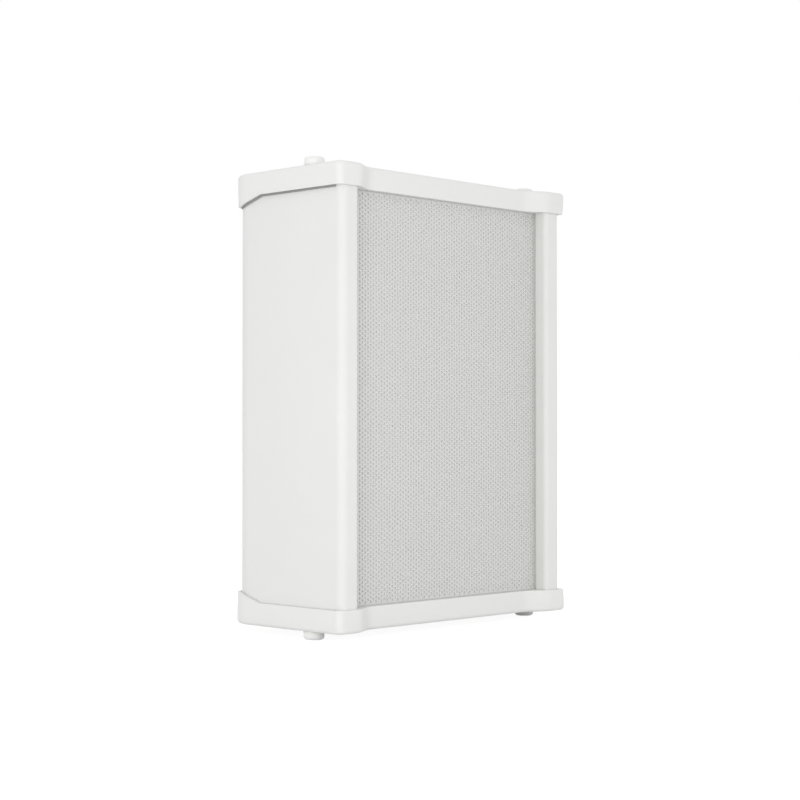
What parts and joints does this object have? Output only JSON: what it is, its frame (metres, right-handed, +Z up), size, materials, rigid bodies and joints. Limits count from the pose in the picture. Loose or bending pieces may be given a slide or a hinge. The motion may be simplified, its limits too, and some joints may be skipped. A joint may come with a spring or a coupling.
{
  "type": "column loudspeaker",
  "caption": "Short wall column loudspeaker: white extruded body with two front rails, rounded end caps and a finely perforated front grille over one sprung cone driver.",
  "frame": {"origin": "under the middle of the case, at the level of the lower screw heads that it stands on", "axes": "+X to the right as seen from the front, +Y to the back (the grille faces -Y), +Z up"},
  "size_m": [0.163, 0.0794, 0.223],
  "materials": {
    "powder_coated_aluminium": "white powder coat, satin",
    "cap_plastic": "white moulded plastic, satin",
    "seal_rubber": "black moulded rubber",
    "zinc_steel": "bright zinc plate",
    "grey_rubber": "grey extruded rubber",
    "light_rubber": "light grey extruded rubber",
    "pale_rubber": "pale extruded rubber",
    "enamelled_steel": "white enamelled screw heads",
    "washer_nylon": "white nylon",
    "powder_coated_steel": "white powder coat on perforated sheet",
    "grille_cloth": "thin white woven cloth",
    "foam": "closed-cell black foam",
    "grey_foam": "closed-cell light grey foam",
    "baffle_board": "raw fibreboard",
    "basket_steel": "black painted pressed steel",
    "motor_iron": "zinc plated iron",
    "ferrite": "sintered ferrite, matt",
    "former_paper": "brown coil paper",
    "copper_wire": "enamelled copper",
    "spider_cloth": "resin-stiffened cotton",
    "cone_paper": "black pressed paper pulp",
    "surround_rubber": "soft black rubber",
    "tag_board": "resin-bonded paper board",
    "tinned_brass": "tinned brass",
    "laminations": "varnished electrical steel",
    "coil_tape": "yellow winding tape",
    "block_plastic": "natural nylon",
    "wire_grey": "grey insulation",
    "wire_red": "red insulation",
    "wadding": "white polyester wadding"
  },
  "bodies": {
    "cabinet": {"housing": "powder_coated_aluminium", "bottom_cap": "cap_plastic", "top_cap": "cap_plastic", "bottom_gasket": "seal_rubber", "top_gasket": "seal_rubber", "bottom_rim_seals": "pale_rubber", "top_rim_seals": "grey_rubber", "front_seals": "light_rubber", "bottom_cap_screws": "enamelled_steel", "top_cap_screws": "enamelled_steel", "bottom_cap_washers": "washer_nylon", "top_cap_washers": "washer_nylon", "grille": "powder_coated_steel", "grille_cloth": "grille_cloth", "grille_strips": "grey_foam", "baffle": "baffle_board", "baffle_strips": "foam", "driver_gasket": "foam", "driver_basket": "basket_steel", "driver_screws": "zinc_steel", "top_plate": "motor_iron", "magnet": "ferrite", "yoke": "motor_iron", "spider": "spider_cloth", "surround": "surround_rubber", "tag_strip": "tag_board", "tags": "tinned_brass", "transformer_core": "laminations", "transformer_coil": "coil_tape", "transformer_strap": "zinc_steel", "transformer_screws": "zinc_steel", "terminal_block": "block_plastic", "terminal_clamps": "zinc_steel", "terminal_screws": "zinc_steel", "line_leads": "wire_grey", "driver_leads": "wire_red", "bracket_nuts": "zinc_steel", "cable_grommet": "seal_rubber", "damping_pad": "wadding"},
    "cone_assembly": {"cone": "cone_paper", "dust_cap": "cone_paper", "coil_former": "former_paper", "coil_winding": "copper_wire"}
  },
  "joints": [
    {"name": "cone_travel", "type": "slide", "parent": "cabinet", "child": "cone_assembly", "axis": [0, -1, 0], "range_m": [-0.003, 0.003], "stiffness_N_per_m": 1500, "deforming": ["surround", "spider"]}
  ]
}
